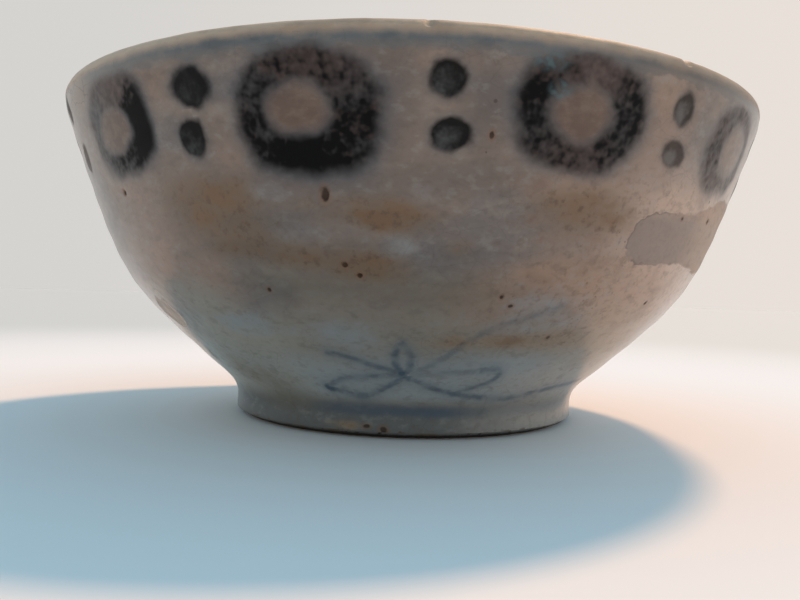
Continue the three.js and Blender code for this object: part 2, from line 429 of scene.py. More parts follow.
def clay_finish():
    """Bare fired clay: buff at the lip, browner and gritty where the foot stood in the kiln, with painted
    shadow at the ring's outer corner.
    """
    material, start, shader = new_finish("bare_clay")
    place, (x, y, z) = object_places(start)
    grit = place.grain(0.7, 3, 0.7)
    wash, buff, worn = lip_tones(place, z)
    colour = wash.coat(buff, worn)
    colour = colour.coat(seen(110, 96, 84), grit.rising(0.62, 0.78) * worn * 0.4)
    foot = z.rising(10, 6)
    foot_colour = start.even(seen(104, 103, 99))
    foot_colour = foot_colour.coat(seen(100, 78, 56), place.grain(5, 3, 0.6).rising(0.5, 0.64) * 0.7)
    foot_colour = foot_colour.coat(seen(58, 46, 38), place.grain(1.6, 2, 0.6).rising(0.58, 0.7))
    # Painted contact shadow, mottled by the grit, darkens only the outer corner of the ring, where it meets
    # the floor
    painted_contact_shadow = (z + (grit - 0.5) * 0.5).rising(1.15, 0.7) * off_axis(x, y).rising(35.6, 36.8)
    foot_colour = foot_colour.coat(seen(40, 35, 31), painted_contact_shadow)
    # The flat edge that the bowl stands on is rubbed back to buff in places
    standing = (z + (place.grain(4, 3, 0.6) - 0.5) * 0.3).rising(0.3, 0.06)
    standing = standing * place.grain(2.2, 3, 0.6).rising(0.3, 0.6)
    foot_colour = foot_colour.coat(seen(150, 132, 112), standing)
    colour = colour.coat(foot_colour, foot)
    join(colour, shader, "Base Color")
    join(0.32 + 0.1 * grit + 0.22 * worn + 0.3 * foot, shader, "Roughness")
    join(0.4 * (1 - worn) * (1 - foot), shader, "Coat Weight")
    raised(grit, shader, 0.05 * MM)
    shader.inputs["Specular IOR Level"].default_value = 0.2
    shader.inputs["Coat Roughness"].default_value = 0.18
    return material


crown = [
    spot(math.cos(turn), math.sin(turn)) * lip_round + spot(rim_radius - lip_round, round_start)
    for turn in (math.pi * step / crown_steps for step in range(crown_steps + 1))
]
clay_outside = moved(evenly(outer_surface, coarse), steadily(coat_depth))
clay_inside = moved(evenly(inner_surface, coarse), steadily(coat_depth))
clay_recess = moved(evenly(recess_surface, coarse), steadily(coat_depth))
lip_ledge = glaze_top + seat_gap / 10
ring_inside = clay_recess[-1].x
ring_outside = foot_radius - coat_depth
foot_side = foot_radius - seat_gap
foot_edge = evenly(
    [
        spot(ring_inside, wiped_foot_height),
        spot(ring_inside, foot_bevel),
        spot(ring_inside + foot_bevel, 0),
        spot(foot_side - 2.4 * foot_bevel, 0),
        spot(foot_side - 1.2 * foot_bevel, 0.5 * foot_bevel),
        spot(foot_side - 0.3 * foot_bevel, foot_bevel),
        spot(foot_side, 1.3 * foot_bevel),
        spot(foot_side, wiped_foot_height - seat_gap / 10),
    ],
    edge_spacing,
)
clay_section = [
    *clay_recess[:-1],
    *softened(foot_edge, foot_edge_softening),
    spot(ring_outside, foot_edge[-1].z),
    *clay_outside[1:],
    spot(rim_radius - coat_depth, lip_ledge),
    spot(rim_radius, lip_ledge),
    *crown,
    spot(lip_inner_radius, lip_ledge),
    spot(lip_inner_radius + coat_depth, lip_ledge),
    *clay_inside,
]

lip_nicks = table("angle height wide tall deep", [
    (1.6, 65.2, 1.6, 1.6, 0.3),
    (35.1, 65.3, 2.4, 1.8, 0.28),
    (96.0, 65.4, 2.8, 1.8, 0.4),
    (171.0, 65.4, 1.8, 1.6, 0.35),
    (-122.0, 65.2, 2.2, 1.8, 0.4),
])
clay = turned(clay_section, closed=False)
refined(clay, lip_nicks, 2)
clay.normal_update()
lip_start = round_start - lip_round / 4
for corner in clay.verts:
    worn = 0
    if corner.co.z > lip_start:
        worn = uneven(corner.co, 0.05, 200) + uneven(corner.co, 0.03, 700)
        worn *= min(1, (corner.co.z - lip_start) / MM)
        worn -= sum(dent(corner.co, nick) for nick in lip_nicks)
    elif seat_gap <= corner.co.z < foot_bevel:
        worn = uneven(corner.co, 0.05, 500)
    corner.co = kiln_warp(corner.co + corner.normal * worn)
finished("thrown_clay", clay, clay_finish(), ["porcelain_body"])

# The outer glaze, with the painting under it
# A coat of clear glaze, greyed and stained by use, from the wiped foot up to the bare lip. Its colour also
# carries painted light on the flanks and lower wall and painted shade just above the foot. The brush
# painted the clay before it was dipped, so rings, dots, spray and washes all lie in this one coat.
ring_count = 11
row_pitch = 360 / ring_count
painted_rings = table("angle height wide tall hole load browned lean", [
    (-76.6, 53.8, 21.5, 15.6, (-0.8, 0.4, 9.8, 8.0), (0.5, 0.3, 0.6, 0.6), (1, 0), 0),
    (-43.7, 53.9, 20.9, 15.4, (-1.3, -0.5, 11.4, 7.1), (1.25, -0.1, 0.0, 0.6), (1, 0), 0.15),
    (-12.2, 53.5, 22.6, 17.4, (-1.5, 0.5, 10.2, 7.9), (0.68, 0.42, 0.66, 1.2), (1, 0.3), 0),
    (20.9, 55.0, 22.2, 16.0, (-0.6, -0.1, 11.4, 8.0), (0.8, 0.12, 0.8, 0.45), (1, 0.9), 0),
    (51.9, 54.6, 20.4, 14.6, (1.4, 0.1, 11.2, 8.6), (0.1, 0.15, 0.3, 0.1), (0.7, 0.6), 0),
])
last_full_ring = 3
chance = random.Random(11).uniform
while len(painted_rings) < ring_count:
    onward = row_pitch * (len(painted_rings) - last_full_ring)
    painted_rings.append(
        {
            "angle": painted_rings[last_full_ring]["angle"] + onward + chance(-1.3, 1.3),
            "height": 54.2 + chance(-0.7, 0.7),
            "wide": 21.8 + chance(-1.2, 1.2),
            "tall": 16.2 + chance(-0.8, 0.8),
            "hole": (chance(-1.4, 1.4), chance(-0.3, 0.6), 10.6 + chance(-0.8, 0.8), 8.6),
            "load": [chance(0.2, 1) for side in range(4)],
            "browned": (chance(0.3, 1), chance(0, 0.8)),
            "lean": 0,
        }
    )
painted_dots = table("angle height wide tall pale", [
    (-27.4, 57.9, 7.4, 5.9, 0.12),
    (-28.6, 50.7, 5.8, 5.5, 0.4),
    (4.0, 58.0, 5.7, 5.1, 0.55),
    (4.6, 50.7, 6.1, 4.8, 0.6),
    (36.1, 58.4, 5.1, 5.0, 1.1),
    (36.7, 51.5, 6.1, 4.1, 1.3),
    (-63.2, 61.0, 5.0, 5.4, 1.4),
    (-60.6, 51.6, 4.6, 5.0, 2.1),
])
third_pair_angle = 4.1
upper_dot_height = 58.0
lower_dot_height = 50.8
while len(painted_dots) < 2 * ring_count:
    pair = len(painted_dots) // 2 + 1
    angle = third_pair_angle + row_pitch * (pair - 3) + chance(-0.8, 0.8)
    for height in (upper_dot_height, lower_dot_height):
        painted_dots.append(
            {
                "angle": angle + chance(-0.5, 0.5),
                "height": height + chance(-0.3, 0.3),
                "wide": 5.9 + chance(-0.6, 0.8),
                "tall": 4.9 + chance(-0.5, 0.6),
                "pale": chance(0.15, 0.7),
            }
        )
spray_knot = {"angle": 0.3, "height": 12.9, "radius": 44.6}
spray_strokes = table("tone line", [
    (0.6, [(0, 0), (-1.4, 1.6), (-1.7, 3.4), (-1.3, 5.2), (-0.6, 6)]),
    (0.6, [(0, 0), (0.7, 1.7), (0.8, 3.5), (0.2, 5.2), (-0.6, 6)]),
    (0.45, [(0, 0), (-2.1, 0.8), (-5.8, 1.9), (-9.1, 3.2), (-12.1, 3.9)]),
    (0.45, [(0, 0), (-4.2, -0.1), (-9, -0.6), (-12.6, -1.6), (-15.4, -3.2)]),
    (0.55, [(0, 0), (-2.4, -1.8), (-6.2, -4), (-9.8, -4.6), (-15.4, -3.2)]),
    (0.15, [(0, 0), (6, 0.7), (11, 1.0), (14, 1.35)]),
    (0.45, [
        (13.2, 1.2), (14.9, 1.5), (16.2, 1.3), (16.9, 0.5),
        (16.5, -0.6), (14.9, -1.7), (12.6, -2.6), (10.2, -3.6),
    ]),
    (0.5, [(0, 0), (4.6, -2.3), (9.2, -3.6)]),
    (0.5, [(9.2, -3.6), (13.4, -4.2), (22.6, -4.8), (32, -3.5), (44.7, -2.2)]),
    (0.2, [(0, 0), (4.5, 2.4), (7.6, 5.4), (11.2, 8.8), (15.2, 11), (20.1, 13.2)]),
    (0.8, [(-15.6, -3.1), (-14.6, -3.6)]),
    (0.6, [(-12.3, 4.0), (-11.8, 3.9)]),
    (0.8, [(-9.4, -4.6), (-7.8, -4.5)]),
    (0.95, [(-0.7, 0.4), (0.6, -0.4)]),
    (0.55, [(9.2, -3.6), (10, -3.8)]),
    (0.6, [(15.4, 1.5), (16.4, 1.2), (16.9, 0.4)]),
])
glaze_pits = table("angle height wide tall deep", [
    (-10.8, 42.0, 1.5, 2.2, 0.4),
    (-8.9, 31.7, 1.2, 0.9, 0.3),
    (-6.8, 30.1, 1.0, 0.9, 0.25),
    (-22.0, 27.5, 0.9, 0.8, 0.2),
    (-47.4, 43.9, 1.0, 1.1, 0.3),
    (54.9, 42.5, 1.0, 0.9, 0.3),
    (14.8, 27.4, 0.8, 0.8, 0.2),
    (47.2, 27.1, 0.8, 0.8, 0.2),
])
glaze_flakes = table("angle height wide tall deep", [
    (-56.5, 22.4, 9.5, 5.6, 0.16),
    (-56.5, 13.6, 4.6, 2.6, 0.15),
])
worn_outline = [
    (33.4, 37.6), (33.9, 39.6), (35.6, 41.3), (38.4, 42.2), (44.4, 42.8), (50.3, 44.2), (57, 46.4),
    (64.6, 47.2), (72, 45), (76, 40), (72, 35), (64, 33.4), (55, 34), (47, 34.6), (42.7, 33.8),
    (38.3, 33.8), (35.3, 34.6), (33.8, 36), (33.4, 37.6),
]
far_off = 9
stroke_spacing = 0.25


def stroke_places(line):
    """Points close together along a brush stroke drawn through a few places."""
    places = [Vector(place).to_3d() for place in line]
    places = [2 * places[0] - places[1], *places, 2 * places[-1] - places[-2]]
    smooth = []
    for before, here, after, beyond in zip(places, places[1:], places[2:], places[3:]):
        leaving = here + (after - before) / 6
        arriving = after - (beyond - here) / 6
        smooth += interpolate_bezier(here, leaving, arriving, after, 12)[:-1]
    return evenly([*smooth, places[-2]], stroke_spacing)


def nearest(marks, place):
    """The painted mark whose middle lies nearest to a point of the bowl."""
    turn = math.degrees(math.atan2(place.x, -place.y))
    height = place.z / MM

    def gap(mark):
        around = (turn - mark["angle"] + 180) % 360 - 180
        return abs(around) * 1.3 + abs(height - mark["height"])

    return min(marks, key=gap)


def paint_places(mesh):
    """Writes to the mesh where each point lies in the ring, the hole or the dot nearest to it."""
    ring_map = mesh.loops.layers.uv.new("ring")
    hole_map = mesh.loops.layers.uv.new("hole")
    dot_map = mesh.loops.layers.uv.new("dot")
    load = mesh.loops.layers.float_color.new("load")
    lowest = 40
    for face in mesh.faces:
        middle = face.calc_center_median()
        if middle.z < lowest * MM:
            for loop in face.loops:
                for layer in (ring_map, hole_map, dot_map):
                    loop[layer].uv = (far_off, far_off)
            continue
        ring = nearest(painted_rings, middle)
        dot = nearest(painted_dots, middle)
        right, top, left, bottom = ring["load"]
        brown_top, brown_bottom = ring["browned"]
        aside, above, wide, tall = ring["hole"]
        for loop in face.loops:
            across, up = wall_distance(loop.vert.co, ring["angle"], ring["height"] * MM)
            across -= up * ring["lean"]
            loop[ring_map].uv = (2 * across / MM / ring["wide"], 2 * up / MM / ring["tall"])
            loop[hole_map].uv = (2 * (across / MM - aside) / wide, 2 * (up / MM - above) / tall)
            clock = math.atan2(up, across)
            flank = math.cos(clock) ** 2 * (right if across > 0 else left)
            heavy = flank + math.sin(clock) ** 2 * (top if up > 0 else bottom)
            browned = max(0, brown_top * math.sin(clock + 0.2), -brown_bottom * math.sin(clock)) ** 1.3
            across, up = wall_distance(loop.vert.co, dot["angle"], dot["height"] * MM)
            loop[dot_map].uv = (2 * across / MM / dot["wide"], 2 * up / MM / dot["tall"])
            loop[load] = (heavy, browned, dot["pale"], 1)


def brush_places(mesh):
    """Writes to each point how far the nearest stroke of the spray lies, and how strong it is."""
    brush = mesh.verts.layers.float_color.new("brush")
    strokes = [(stroke_places(stroke["line"]), stroke["tone"]) for stroke in spray_strokes]
    lowest, highest = 4, 29
    leftmost, rightmost = -19, 48
    for corner in mesh.verts:
        corner[brush] = (far_off, 0, 0, 1)
        if not lowest < corner.co.z / MM < highest:
            continue
        across, up = wall_distance(corner.co, spray_knot["angle"], spray_knot["height"] * MM)
        across *= spray_knot["radius"] * MM / math.hypot(corner.co.x, corner.co.y)
        here = Vector((across, up, 0)) / MM
        if not leftmost < here.x < rightmost:
            continue
        gaps = [(min((here - place).length for place in places), tone) for places, tone in strokes]
        gap = min(gaps)[0]
        tone = max(tone for reach, tone in gaps if reach < gap + stroke_spacing)
        corner[brush] = (gap, tone, 0, 1)


def worn_places(mesh):
    """Writes to each point how deep in millimetres it lies inside the outline of the worn patch."""
    depth = mesh.verts.layers.float.new("worn")
    middle_turn, middle_height = 50, 39
    lowest, highest = 28, 50
    widest = 32
    edge = []
    for angle, height in worn_outline:
        here = spot(0, height * MM)
        radius = max(place.x for place in outer_surface if place.z <= here.z + fine)
        edge.append((math.radians(angle - middle_turn) * radius / MM, height - middle_height))
    edge = stroke_places(edge)
    for corner in mesh.verts:
        corner[depth] = -far_off
        if not lowest < corner.co.z / MM < highest:
            continue
        across, up = wall_distance(corner.co, middle_turn, middle_height * MM)
        if abs(across) > widest * MM:
            continue
        here = Vector((across / MM, up / MM, 0))
        gap = min((here - place).length for place in edge)
        crossings = 0
        for before, after in zip(edge, edge[1:]):
            if (before.y > here.y) != (after.y > here.y):
                share = (here.y - before.y) / (after.y - before.y)
                crossings += before.x + share * (after.x - before.x) > here.x
        corner[depth] = gap if crossings % 2 else -gap


spray_region = {"angle": 16.0, "height": 17.0, "wide": 52, "tall": 24}
glaze_specks = table("angle height wide tall", [
    (-10.0, 2.4, 1.5, 0.9),
    (-5.2, 1.9, 1.6, 1.4),
    (9.5, 50.9, 0.9, 1.3),
    (27.6, 20.6, 0.9, 0.8),
    (16.8, 26.0, 1.1, 0.7),
    (44.6, 41.9, 0.8, 0.7),
])
rust_stains = table("angle height wide tall strong", [
    (-29.0, 43.0, 24, 8, 0.8),
    (-27.0, 38.0, 30, 11, 1.0),
    (-22.0, 33.4, 18, 6, 0.6),
    (-7.0, 40.3, 20, 6, 0.7),
    (-0.5, 38.6, 16, 7, 0.9),
    (-9.0, 32.4, 22, 6, 1.0),
    (-3.0, 30.5, 16, 5, 0.6),
    (7.2, 34.6, 8, 6, 0.6),
    (12.0, 19.6, 26, 3.6, 0.8),
    (29.0, 20.2, 22, 4.4, 0.9),
    (33.0, 24.5, 20, 8, 0.3),
    (24.0, 41.0, 24, 9, 1.1),
    (-60.0, 15.5, 16, 6, 0.6),
    (-44.0, 12.0, 20, 8, 0.5),
    (-17.0, 2.4, 9, 2.4, 0.9),
    (118.0, 36.0, 34, 10, 0.8),
    (150.0, 28.0, 30, 8, 0.8),
    (-130.0, 40.0, 30, 9, 0.8),
    (-95.0, 24.0, 22, 6, 0.7),
])
# Pink blushes in the glaze; those on the lower right flank also carry painted bounce light from the floor
pink_blushes_and_bounce = table("angle height wide tall strong", [
    (34.0, 57.0, 16, 16, 0.9),
    (22.0, 44.5, 26, 5, 0.7),
    (15.0, 22.5, 26, 7, 0.6),
    (27.0, 31.0, 22, 9, 0.6),
    (44.0, 28.0, 18, 12, 0.8),
    (-22.0, 47.0, 10, 7, 0.4),
    (-35.0, 58.5, 10, 8, 0.5),
    (-47.0, 40.0, 22, 20, 0.7),
    (-37.0, 29.6, 30, 12, 0.9),
    (19.0, 28.6, 28, 10, 1.2),
    (6.0, 60.5, 26, 5, 0.4),
    (130.0, 52.0, 18, 12, 0.8),
    (-140.0, 30.0, 24, 9, 0.7),
])
grey_shades = table("angle height wide tall strong", [
    (-3.5, 56.5, 12, 20, 1.0),
    (8.5, 55.0, 8, 14, 1.0),
    (-14.0, 43.5, 40, 7, 0.75),
    (8.0, 45.0, 24, 6, 0.7),
    (90.0, 46.0, 30, 9, 0.7),
    (-110.0, 50.0, 24, 12, 0.7),
])
olive_stains = table("angle height wide tall strong", [
    (-42.0, 11.0, 20, 12, 0.7),
    (-33.0, 6.5, 16, 6, 0.9),
    (4.0, 28.0, 34, 8, 0.8),
    (-18.0, 28.6, 26, 7, 0.8),
    (-138.0, 12.0, 40, 12, 0.8),
])
milky_clouds = table("angle height wide tall strong", [
    (-1.0, 34.6, 9, 6, 0.45),
    (-16.0, 36.5, 12, 6, 0.35),
    (24.0, 25.0, 26, 11, 0.6),
    (-18.5, 42.6, 11, 5, 0.45),
    (-30.0, 21.5, 20, 6, 0.8),
    (-11.0, 20.5, 18, 6, 0.9),
    (22.0, 15.5, 34, 6, 0.8),
    (-4.0, 14.0, 34, 12, 0.5),
    (3.0, 42.0, 12, 6, 0.4),
    (140.0, 22.0, 30, 8, 0.8),
    (-150.0, 26.0, 30, 9, 0.8),
])


def painted_finish():
    """The stained glaze of the outside, with all that is painted under it, and painted light and shade on
    its lower wall and foot.
    """
    material, start, shader = new_finish("painted_glaze")
    place, (x, y, z) = object_places(start)
    turn = start.maths("ARCTAN2", x, y * -1)
    radius = off_axis(x, y)
    side = x / radius
    flattened, blots, waver = soft_grain(place)
    clouds = flattened.grain(20, 3, 0.5)
    mottle = flattened.grain(2.6, 3, 0.55)
    flecks = place.grain(1.3, 2, 0.6)
    dust = place.grain(0.5, 2, 0.6)
    fray = place.grain(1.1, 2, 0.6) - 0.5
    lumps = place.grain(8.5, 1, 0.5) - 0.5

    def oval(mark):
        """Distance from the middle of a mark, in halves of its width and height."""
        across = (turn - math.radians(mark["angle"])) * radius * (2 / mark["wide"])
        up = (z - mark["height"]) * (2 / mark["tall"])
        return start.maths("SQRT", across * across + up * up)

    def laid(marks):
        """How strongly the soft ovals of a list of marks cover each place."""
        cover = 0
        for mark in marks:
            cover = oval(mark).rising(1.4, 0.1) * mark["strong"] + cover
        return cover

    def length(wire, middle=(0, 0, 0)):
        """Distance from a point, in the map that the wire gives."""
        return start.node("ShaderNodeVectorMath", {"operation": "DISTANCE"}, {0: wire, 1: middle}, 1)

    colour = start.even(seen(124, 108, 98))
    colour = colour.coat(seen(108, 101, 98), clouds.rising(0.46, 0.62) * 0.85)
    colour = colour.coat(seen(140, 126, 115), blots.rising(0.52, 0.68) * 0.5)
    colour = colour.coat(seen(100, 87, 79), blots.rising(0.48, 0.32) * 0.5)
    # Painted light with the glaze's warm tone: the lower right flank is lighter and warmer, as the floor's
    # bounce lights it
    warm_lit_flank = (side + 0.4 * clouds).rising(0.48, 0.95) * (z + 8 * blots).rising(60, 46)
    colour = colour.coat(seen(182, 154, 135), warm_lit_flank * 0.9)
    # Pink blushes, partly painted bounce light on the lower right flank
    blush_and_bounce = laid(pink_blushes_and_bounce) * (0.5 + blots)
    colour = colour.coat(seen(152, 124, 105), blush_and_bounce.least(1) * 0.7)
    colour = colour.coat(seen(94, 85, 81), (laid(grey_shades) * (0.5 + blots)).least(1) * 0.75)
    # The lower wall turns lighter, and bluish-grey near the foot: partly the glaze's own tone, partly
    # painted bounce light from the floor
    low_wall_and_bounce = (z + 14 * clouds + 8 * blots).rising(40, 29)
    colour = colour.coat(seen(141, 133, 120), low_wall_and_bounce * 0.75)
    # Painted light: the left flank of the lower wall is lighter still
    colour = colour.coat(seen(162, 155, 141), (0.4 * blots - side).rising(0.35, 0.85) * low_wall_and_bounce * 0.7)
    near_foot_and_bounce = (z + 9 * clouds + 6 * blots).rising(27, 18) * z.rising(5, 9)
    colour = colour.coat(seen(156, 162, 163), near_foot_and_bounce * 0.85)
    # Painted light on the right and left flanks near the foot
    colour = colour.coat(seen(176, 163, 152), (side + 0.4 * blots).rising(0.42, 0.88) * near_foot_and_bounce * 0.7)
    colour = colour.coat(seen(166, 159, 143), (0.4 * blots - side).rising(0.5, 0.85) * near_foot_and_bounce * 0.7)
    # Painted shade darkens the wall just above the foot, and painted light lifts it again on the right
    # flank
    foot_shade = z.rising(9, 5)
    colour = colour.coat(seen(96, 95, 91), foot_shade)
    colour = colour.coat(seen(150, 142, 133), foot_shade * (side + 0.4 * blots).rising(0.35, 0.84) * 0.8)
    colour = colour.coat(seen(140, 136, 130), mottle.rising(0.52, 0.7) * 0.3)
    colour = colour.coat(seen(92, 82, 75), mottle.rising(0.48, 0.3) * 0.3)

    rusty = laid(rust_stains)
    rust = (rusty + (blots - 0.5) * 1.6 + (mottle - 0.5) * 0.9).rising(0.0, 1.4) * rusty.rising(0.0, 0.5)
    ochre = start.even(seen(112, 88, 64))
    # Rust is lighter on the lower wall too, with the same painted bounce light
    ochre = ochre.coat(seen(141, 117, 91), low_wall_and_bounce)
    colour = colour.coat(ochre, rust * 0.85)
    colour = colour.coat(seen(118, 86, 60), (rust * (blots + 0.5 * mottle)).rising(0.45, 1.0) * 0.6)
    olive = laid(olive_stains) * (0.4 + blots)
    colour = colour.coat(seen(106, 99, 85), olive.least(1) * 0.6)
    milky = laid(milky_clouds)
    milk = (milky + (blots - 0.5) * 1.4 + (mottle - 0.5) * 0.8).rising(0.0, 1.3) * milky.rising(0.0, 0.5)
    colour = colour.coat(seen(140, 149, 154), milk * 0.6)
    freckled = side.rising(0.12, 0.36) * z.rising(18, 26) * z.rising(50, 44)
    colour = colour.coat(seen(92, 70, 56), flecks.rising(0.5, 0.75) * (0.12 + 0.6 * rust + 0.25 * freckled))
    pepper = place.specks(1.15, 0.26, 0.5) * place.grain(11, 2).rising(0.36, 0.56)
    colour = colour.coat(seen(108, 74, 58), pepper * (0.2 + 0.4 * freckled))
    smears = flattened.grain(6, 3, 0.55).rising(0.46, 0.8) * freckled
    colour = colour.coat(seen(124, 98, 82), smears * 0.6)
    sparse = place.specks(6, 0.42, 0.35)
    colour = colour.coat(seen(58, 42, 36), sparse * 0.6)

    ring_map = start.node("ShaderNodeUVMap", {"uv_map": "ring"})
    hole_map = start.node("ShaderNodeUVMap", {"uv_map": "hole"})
    dot_map = start.node("ShaderNodeUVMap", {"uv_map": "dot"})
    heavy, browned, pale = start.node("ShaderNodeAttribute", {"attribute_name": "load"}).parts()
    ring_across, ring_up, _ = ring_map.parts()
    squareness = 2.5
    sizes = [start.maths("ABSOLUTE", part) for part in (ring_across, ring_up)]
    powers = [start.maths("POWER", size, squareness) for size in sizes]
    from_ring = start.maths("POWER", powers[0] + powers[1], 1 / squareness)
    outer_edge = (from_ring - 1) * 9 + lumps * 3.4 + waver * 1.5 + fray * 0.45
    inner_edge = (length(hole_map) - 1) * 4.8 + lumps * 1.8 + waver * 1.5 + fray * 0.45
    ring = outer_edge.rising(1.3, -1.3) * inner_edge.rising(-1.2, 1.0)
    halo = outer_edge.rising(2.4, -0.2) * inner_edge.rising(-1.8, 0.4)
    curdled = place.grain(1.35, 1, 0.5)
    smeared = place.grain(5, 2, 0.5)
    dense = heavy + (smeared - 0.5) * 0.8 + (curdled - 0.5) * 1.35
    thick = dense.rising(-0.45, 0.45)
    black = dense.rising(0.26, 0.94)
    wash = start.even(seen(70, 71, 74))
    wash = wash.coat(seen(80, 60, 54), browned)
    inky = start.even(seen(38, 39, 41))
    inky = inky.coat(seen(58, 43, 40), smeared.rising(0.46, 0.58).most(browned))
    wash = wash.coat(inky, thick)
    pigment = wash.coat(seen(4, 5, 6), black)
    hole = inner_edge.rising(0.6, -0.9) * outer_edge.rising(0, -2)
    hole_colour = start.even(seen(90, 68, 57))
    hole_colour = hole_colour.coat(seen(106, 85, 72), (mottle + 0.6 * waver).rising(0.36, 0.72))
    colour = colour.coat(hole_colour, hole * 0.8)
    colour = colour.coat(seen(76, 79, 84), halo * (0.3 + 0.4 * heavy))
    colour = colour.coat(pigment, ring * (0.6 + 0.3 * thick + 0.1 * black))
    teal = oval({"angle": 17.0, "height": 57.6, "wide": 4.8, "tall": 3.6}).rising(1.1, 0.2)
    teal = teal.most(oval({"angle": 15.2, "height": 61.4, "wide": 6.4, "tall": 3.4}).rising(1.2, 0.3))
    teal = teal * (0.15 + 0.75 * (curdled + 0.8 * waver).rising(0.36, 0.62))
    colour = colour.coat(seen(82, 97, 100), teal)

    dot_edge = (length(dot_map) - 1) * 2.8 + waver * 1.6 + fray * 0.4
    dot = dot_edge.rising(0.55, -0.6)
    dot_halo = dot_edge.rising(1.5, -0.2)
    streaky = place.grain(2, 2, 0.55) - 0.5
    thin = (0.9 - length(dot_map, (-0.3, -0.35, 0))) * pale * 1.3 + streaky * (0.8 + 1.1 * pale)
    dot_colour = start.even(seen(5, 7, 8))
    dot_colour = dot_colour.coat(seen(92, 93, 93), thin.rising(-0.1, 1.1) * 0.85)
    colour = colour.coat(seen(76, 77, 80), dot_halo * (0.6 - 0.25 * pale))
    colour = colour.coat(dot_colour, dot * (1.25 - 0.45 * pale).least(0.95))

    from_stroke, tone, _ = start.node("ShaderNodeAttribute", {"attribute_name": "brush"}).parts()
    pressed = place.grain(3.4, 2).rising(0.34, 0.64)
    stroke = (from_stroke + fray * 0.6).rising(0.9, 0.1) * (0.2 + tone) * (0.35 + 0.8 * pressed)
    bleed = (from_stroke + fray * 0.8).rising(2.2, 0.2) * tone
    colour = colour.coat(seen(84, 102, 114), bleed * 0.5)
    colour = colour.coat(seen(38, 62, 82), stroke.least(1) * 0.74)

    wash_tone, buff, lip_worn = lip_tones(place, z)
    torn = flattened.grain(3, 3, 0.6)
    band_edge = z - 61.7 - (blots - 0.5) * 2 - (torn - 0.5) * 3 - waver * 1.5
    band = band_edge.rising(-0.4, 0.4) * (0.55 + 0.45 * z.rising(62.2, 63.4))
    colour = colour.coat(wash_tone, band * (1 - 0.85 * ring * z.rising(63.8, 62.8)))
    left_patch = oval({"angle": -55.0, "height": 62.5, "wide": 16, "tall": 8}) + waver * 0.6
    left_patch = left_patch.rising(1.3, 0.5)
    colour = colour.coat(seen(134, 116, 102), left_patch * 0.75)
    colour = colour.coat(buff, lip_worn)
    line_top = (z + (clouds - 0.5) * 1.4).rising(7.2, 5.8)
    foot_band = (z + (blots - 0.5) * 1.2).rising(3.8, 5.2) * line_top
    loaded = (turn + 0.55).rising(0, 0.25) * (0.35 + 0.65 * turn.rising(0.45, 0.15))
    loaded = loaded.most(turn.rising(1.6, 2.2)).most(turn.rising(-1.2, -1.8))
    colour = colour.coat(seen(70, 83, 98), foot_band * loaded * (0.35 + 0.6 * clouds))
    foot_rust = (z + (blots - 0.5) * 3 + flecks).rising(2.3, 1.4) * mottle.rising(0.5, 0.6)
    colour = colour.coat(seen(84, 66, 48), foot_rust)

    shift = start.node("ShaderNodeCombineXYZ", inputs={0: waver * 2, 1: fray * 2, 2: waver * 2})
    cracks = flattened.crackle(shift, 5) * clouds.rising(0.44, 0.6)
    colour = colour.coat(seen(74, 62, 54), cracks * (1 - ring.most(dot)) * (0.14 + 0.5 * left_patch))

    inside = start.node("ShaderNodeAttribute", {"attribute_name": "worn"}, output=2)
    inside = inside + (mottle - 0.5) * 1.5 + waver * 2 + fray * 0.9
    bare = inside.rising(-0.25, 0.35)
    patch_colour = start.even(seen(136, 124, 117))
    patch_colour = patch_colour.coat(seen(162, 144, 131), (turn + 0.2 * blots).rising(0.85, 1.15))
    patch_colour = patch_colour.coat(seen(122, 108, 100), mottle.rising(0.5, 0.75) * 0.5)
    colour = colour.coat(patch_colour, bare * (0.4 + 0.4 * (z + 6 * mottle).rising(46.5, 43.5)))
    patch_rim = inside.rising(-0.2, 0.05) * inside.rising(0.45, 0.05)
    patch_rim = patch_rim * (0.1 + 0.5 * turn.rising(0.8, 0.62))
    colour = colour.coat(seen(92, 80, 72), patch_rim * mottle.rising(0.3, 0.5))

    flake = oval({**glaze_flakes[0], "tall": 5.4}) + waver * 0.9 + fray * 0.4
    chipped = flake.rising(1.02, 0.9)
    colour = colour.coat(seen(184, 150, 128), chipped * flecks.rising(0.3, 0.8) * 0.8)
    colour = colour.coat(seen(60, 54, 48), flake.rising(0.9, 1.0) * flake.rising(1.12, 1.02) * 0.7)

    pits = None
    for speck in glaze_pits + glaze_specks:
        reach = oval(speck) + fray * 0.7
        pits = reach if pits is None else pits.least(reach)
    pit = pits.rising(1.05, 0.55)
    colour = colour.coat(seen(120, 84, 58), pits.rising(1.9, 1.0) * 0.4)
    colour = colour.coat(seen(50, 38, 32), pit * (0.5 + 0.6 * mottle))

    join(colour, shader, "Base Color")
    painted = (ring * (0.45 + 0.55 * black)).most(dot)
    matt = painted.most(bare).most(lip_worn).most(chipped * 0.5)
    join(0.28 + 0.1 * blots + 0.26 * matt + 0.12 * rust, shader, "Roughness")
    join(0.6 * (1 - 0.95 * matt) * (1 - pit), shader, "Coat Weight")
    shader.inputs["Coat Roughness"].default_value = 0.16
    shader.inputs["Specular IOR Level"].default_value = 0.1
    ripple = start.maths("SINE", flake * 9) * flake.rising(1.0, 1.3) * flake.rising(4.2, 2.2)
    ripple = ripple * turn.rising(-1.05, -0.98)
    skin = 0.5 + 0.1 * dust + 0.25 * clouds - 0.3 * sparse - 0.25 * bare + 0.14 * painted * curdled
    raised(skin + 0.12 * ripple - 0.3 * chipped, shader, 0.16 * MM)
    return material


